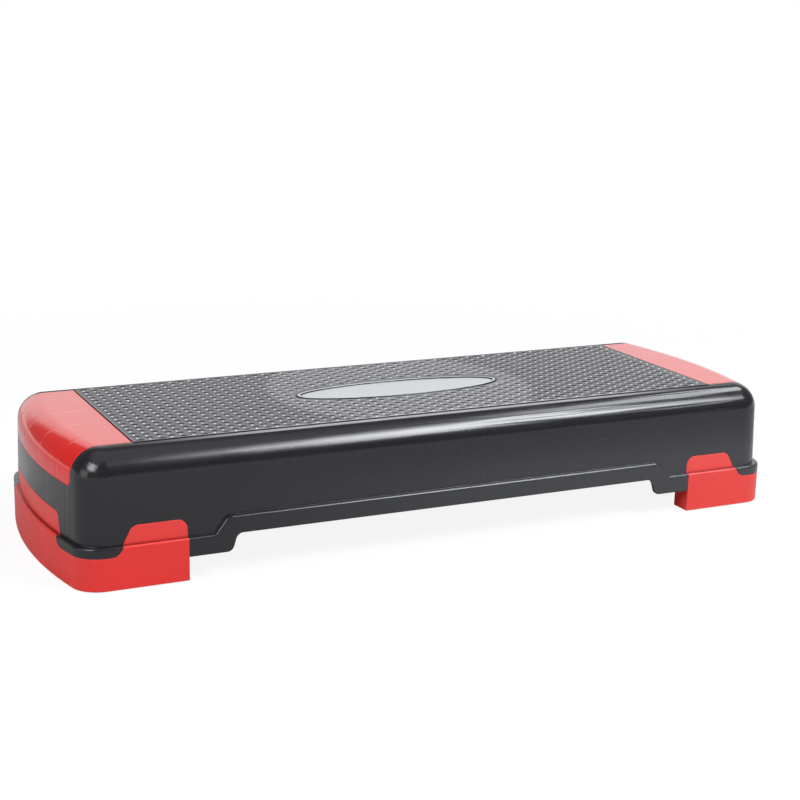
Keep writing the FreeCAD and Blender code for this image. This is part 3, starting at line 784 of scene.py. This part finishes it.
def screwFinish():
    look = screwLook
    material, shade = newFinish("screwSteel")
    place = shade.place()
    cloud = shade.cloud(place, look["cloudSize"])
    eased, edge = shade.softEdge(look["edgeRound"])
    grain = shade.noise(place, look["grainSize"], 1.0)
    colour = shade.blend(shade.ramp(cloud, *look["cloudShown"]), look["steel"], look["dull"])
    rough = cloud * look["cloudGloss"] - edge * look["edgeGloss"]
    shade.plastic(Base_Color=colour, Metallic=1.0, Roughness=look["gloss"] + rough,
                  Normal=shade.bump(grain, look["grainDepth"], eased, look["grainStrength"]))
    return material


# A copy of a CAD node, welded along its seams so that rounded edges shade evenly
weld = {"gap": 0.002 * mm, "sharpTurn": math.radians(26), "evenWeight": 80}


def dressed(node, name, body, material):
    source = frame["nodes"][node].data
    bm = bmesh.new()
    verts = [bm.verts.new(vert.co) for vert in source.vertices]
    for polygon in source.polygons:
        bm.faces.new([verts[index] for index in polygon.vertices])
    bmesh.ops.remove_doubles(bm, verts=bm.verts, dist=weld["gap"])
    bmesh.ops.dissolve_degenerate(bm, edges=bm.edges, dist=weld["gap"])
    for edge in bm.edges:
        edge.smooth = len(edge.link_faces) == 2 and edge.calc_face_angle(0.0) < weld["sharpTurn"]
    piece = addPiece(name, bm, body, material, node)
    even = piece.modifiers.new("evenShading", "WEIGHTED_NORMAL")
    even.keep_sharp = True
    even.weight = weld["evenWeight"]
    return piece


# The groove that shows along both sides of the tread, opened in the deck's copy
sideGroove = {
    "from": 104.7 * mm,
    "to": 106.1 * mm,
    "length": 316.1 * mm,
    "low": 125.1 * mm,
    "high": 127.45 * mm,
    "open": 2.3 * mm,
    "mostShare": 1.1,
}


def openGroove(piece):
    look = sideGroove
    for vert in piece.data.vertices:
        x, y, z = vert.co
        share = (abs(y) - look["from"]) / (look["to"] - look["from"])
        inWall = abs(x) < look["length"] and look["low"] < z < look["high"]
        if inWall and 0 < share < look["mostShare"]:
            vert.co.y = math.copysign(abs(y) + look["open"] * share, y)


finishes = {
    "deck_black": deckFinish(),
    "cap_red": capFinish(),
    "riser_red": riserFinish(),
    "tread_grey": treadFinish(),
    "badge_silver": badgeFinish(),
    "pad_rubber": padFinish(),
    "screw_steel": screwFinish(),
}
print("finishes:", len(finishes))

openGroove(dressed("deck_shell", "deck_body", "deck", finishes["deck_black"]))
for side in ("left", "right"):
    dressed(f"end_cap_{side}", f"cap_{side}", "deck", finishes["cap_red"])
    dressed(f"riser_{side}", f"foot_{side}", f"riser_{side}", finishes["riser_red"])
print("deck, caps and risers dressed")
treadPiece(finishes["tread_grey"])
badgePiece(finishes["badge_silver"])
ringPiece("badge_ring_foot", "ringFoot", finishes["deck_black"])
ringPiece("badge_ring_top", "ringTop", finishes["badge_silver"])
for node, shape in frame["nodes"].items():
    kind = "pad_rubber" if "_pad_" in node else "screw_steel" if "screws" in node else None
    if kind:
        shape.data.materials.clear()
        shape.data.materials.append(finishes[kind])
print("tread, badge, pads and screws in place")

# Floor: white, with the platform's soft shadow on it
floorLook = {
    "half": 6.0,
    "drop": 0.2 * mm,
    "white": (0.64, 0.64, 0.645, 1),
    "shadowShare": (0.12, 0.12, 0.12, 1),
    "glow": 0.895,
    "shadowReach": (0.45, 1.3),
    "shineReach": (0.7, 1.9),
}


def floorPiece():
    look = floorLook
    half = look["half"]
    corners = ((-half, -half), (half, -half), (half, half), (-half, half))
    mesh = bpy.data.meshes.new("floor")
    mesh.from_pydata([(cx, cy, -look["drop"]) for cx, cy in corners], [], [(0, 1, 2, 3)])
    material, shade = newFinish("floorWhite")
    lit = shade.node("BsdfDiffuse", None, {"Color": look["white"]})
    shadow = shade.node("BsdfDiffuse", None, {"Color": look["shadowShare"]})
    glow = shade.node("Emission", None, {"Strength": look["glow"]})
    seen = shade.node("AddShader", None, {0: shadow, 1: glow})
    x, y = shade.parts(shade.place())[:2]
    apart = x * x + y * y
    away, shineAway = [shade.ramp(apart, near * near, far * far)
                       for near, far in (look["shadowReach"], look["shineReach"])]
    white = shade.node("Emission", None, {"Strength": 1.0})
    seen = shade.mixed(away, seen, white)
    camera, glossy, through = shade.rays()
    top = shade.mixed(camera + (glossy + through) * shineAway, lit, seen)
    # seen from below, the floor lets the underside show
    under = camera * shade.node("NewGeometry", out="Backfacing")
    shade.surface(shade.mixed(under, top, shade.node("BsdfTransparent")))
    mesh.materials.append(material)
    floor = bpy.data.objects.new("floor", mesh)
    bpy.context.scene.collection.objects.link(floor)
    # the floor stays under the lower of the two risers
    for side in ("left", "right"):
        hold = floor.constraints.new("FLOOR")
        hold.target = frame["bodies"][f"riser_{side}"]
        hold.floor_location = "FLOOR_NEGATIVE_Z"


# Studio: the room that the platform reflects, dark but for the backdrop and a pale ceiling
studioLook = {
    "room": 0.22,
    "ceiling": 0.85,
    "ceilingEdge": (0.80, 0.95),
    "backdropWay": (0.43, 0.90, 0.06),
    "backdropEdge": (0.74, 0.88),
}


def studioWorld():
    look = studioLook
    world = bpy.data.worlds.new("studio")
    bpy.context.scene.world = world
    shade = Finish(world)
    way = shade.node("TexCoord", out="Generated")
    height = shade.parts(way)[2]
    backdrop = shade.ramp(shade.dot(way, look["backdropWay"]), *look["backdropEdge"])
    ceiling = shade.ramp(height, *look["ceilingEdge"])
    level = look["room"] + ceiling * (look["ceiling"] - look["room"])
    level = level * (1 - backdrop) + backdrop
    camera, glossy, through = shade.rays()
    shown = shade.ramp(camera + (glossy + through) * backdrop, 0.0, 1.0)
    room = shade.node("Background", None, {"Color": level})
    white = shade.node("Background", None, {"Color": (1, 1, 1, 1), "Strength": 1.0})
    shade.node("OutputWorld", None, {"Surface": shade.mixed(shown, room, white)})


# Lamps: the soft boxes, and paler ones that show only as shine
lamps = {
    "rightBox": {"at": (1.00, -1.35, 1.67), "aim": (0.0, -0.13, 0.12), "size": (0.95, 0.85),
                 "power": 38.0, "tint": (0.95, 0.97, 1.0)},
    "rightShine": {"at": (1.20, -1.22, 1.82), "aim": (0.0, -0.13, 0.12), "size": (0.80, 1.40),
                   "power": 26.0, "tint": (0.93, 0.96, 1.0), "shineOnly": True},
    "highStrip": {"at": (1.44, 0.08, 1.80), "aim": (0.2, -0.13, 0.12), "size": (0.95, 0.52),
                  "along": (0.68, 0.71, 0.0),
                  "power": 13.5, "tint": (0.93, 0.96, 1.0), "shineOnly": True},
    "leftBox": {"at": (-1.81, -1.07, 1.47), "aim": (-0.36, -0.13, 0.11), "size": (0.95, 0.90),
                "power": 20.0, "tint": (0.97, 0.98, 1.0)},
    "leftShine": {"at": (-1.83, -1.09, 1.49), "aim": (-0.36, -0.13, 0.11), "size": (1.40, 1.25),
                  "power": 12.0, "tint": (0.97, 0.98, 1.0), "shineOnly": True},
    "leftPanel": {"at": (-2.20, -0.35, 0.40), "aim": (-0.36, -0.13, 0.08), "size": (0.90, 0.70),
                  "power": 3.8, "tint": (1.0, 1.0, 1.0)},
}


def addLamps():
    for name, look in lamps.items():
        data = bpy.data.lights.new(name, "AREA")
        data.shape = "RECTANGLE"
        data.size, data.size_y = look["size"]
        data.energy = look["power"]
        data.color = look["tint"]
        lamp = bpy.data.objects.new(name, data)
        lamp.visible_diffuse = not look.get("shineOnly")
        lamp.location = look["at"]
        facing = (Vector(look["aim"]) - Vector(look["at"])).normalized()
        lamp.rotation_euler = facing.to_track_quat("-Z", "Y").to_euler()
        if "along" in look:
            # the long side runs this way
            upright = Vector(look["along"]).cross(facing).normalized()
            axes = Matrix((facing.cross(upright), upright, -facing)).transposed()
            lamp.rotation_euler = axes.to_euler()
        bpy.context.scene.collection.objects.link(lamp)


# Camera: the photograph's place, and its axes
view = {
    "sensor": 36,
    "lens": 71.928,
    "at": (-0.70301, -1.4559, 0.52135),
    "right": (0.90224721, -0.43068736, 0.02140939),
    "up": (0.08663482, 0.22968016, 0.96940261),
    "back": (-0.42242678, -0.87278601, 0.2445408),
}


def addCamera():
    data = bpy.data.cameras.new("photoView")
    data.sensor_width = view["sensor"]
    data.lens = view["lens"]
    camera = bpy.data.objects.new("photoView", data)
    axes = Matrix((view["right"], view["up"], view["back"])).transposed()
    camera.matrix_world = Matrix.Translation(view["at"]) @ axes.to_4x4()
    bpy.context.scene.collection.objects.link(camera)
    bpy.context.scene.camera = camera


floorPiece()
studioWorld()
addLamps()
addCamera()
bpy.context.scene.view_settings.view_transform = "Standard"
print("stage, lamps and camera set")
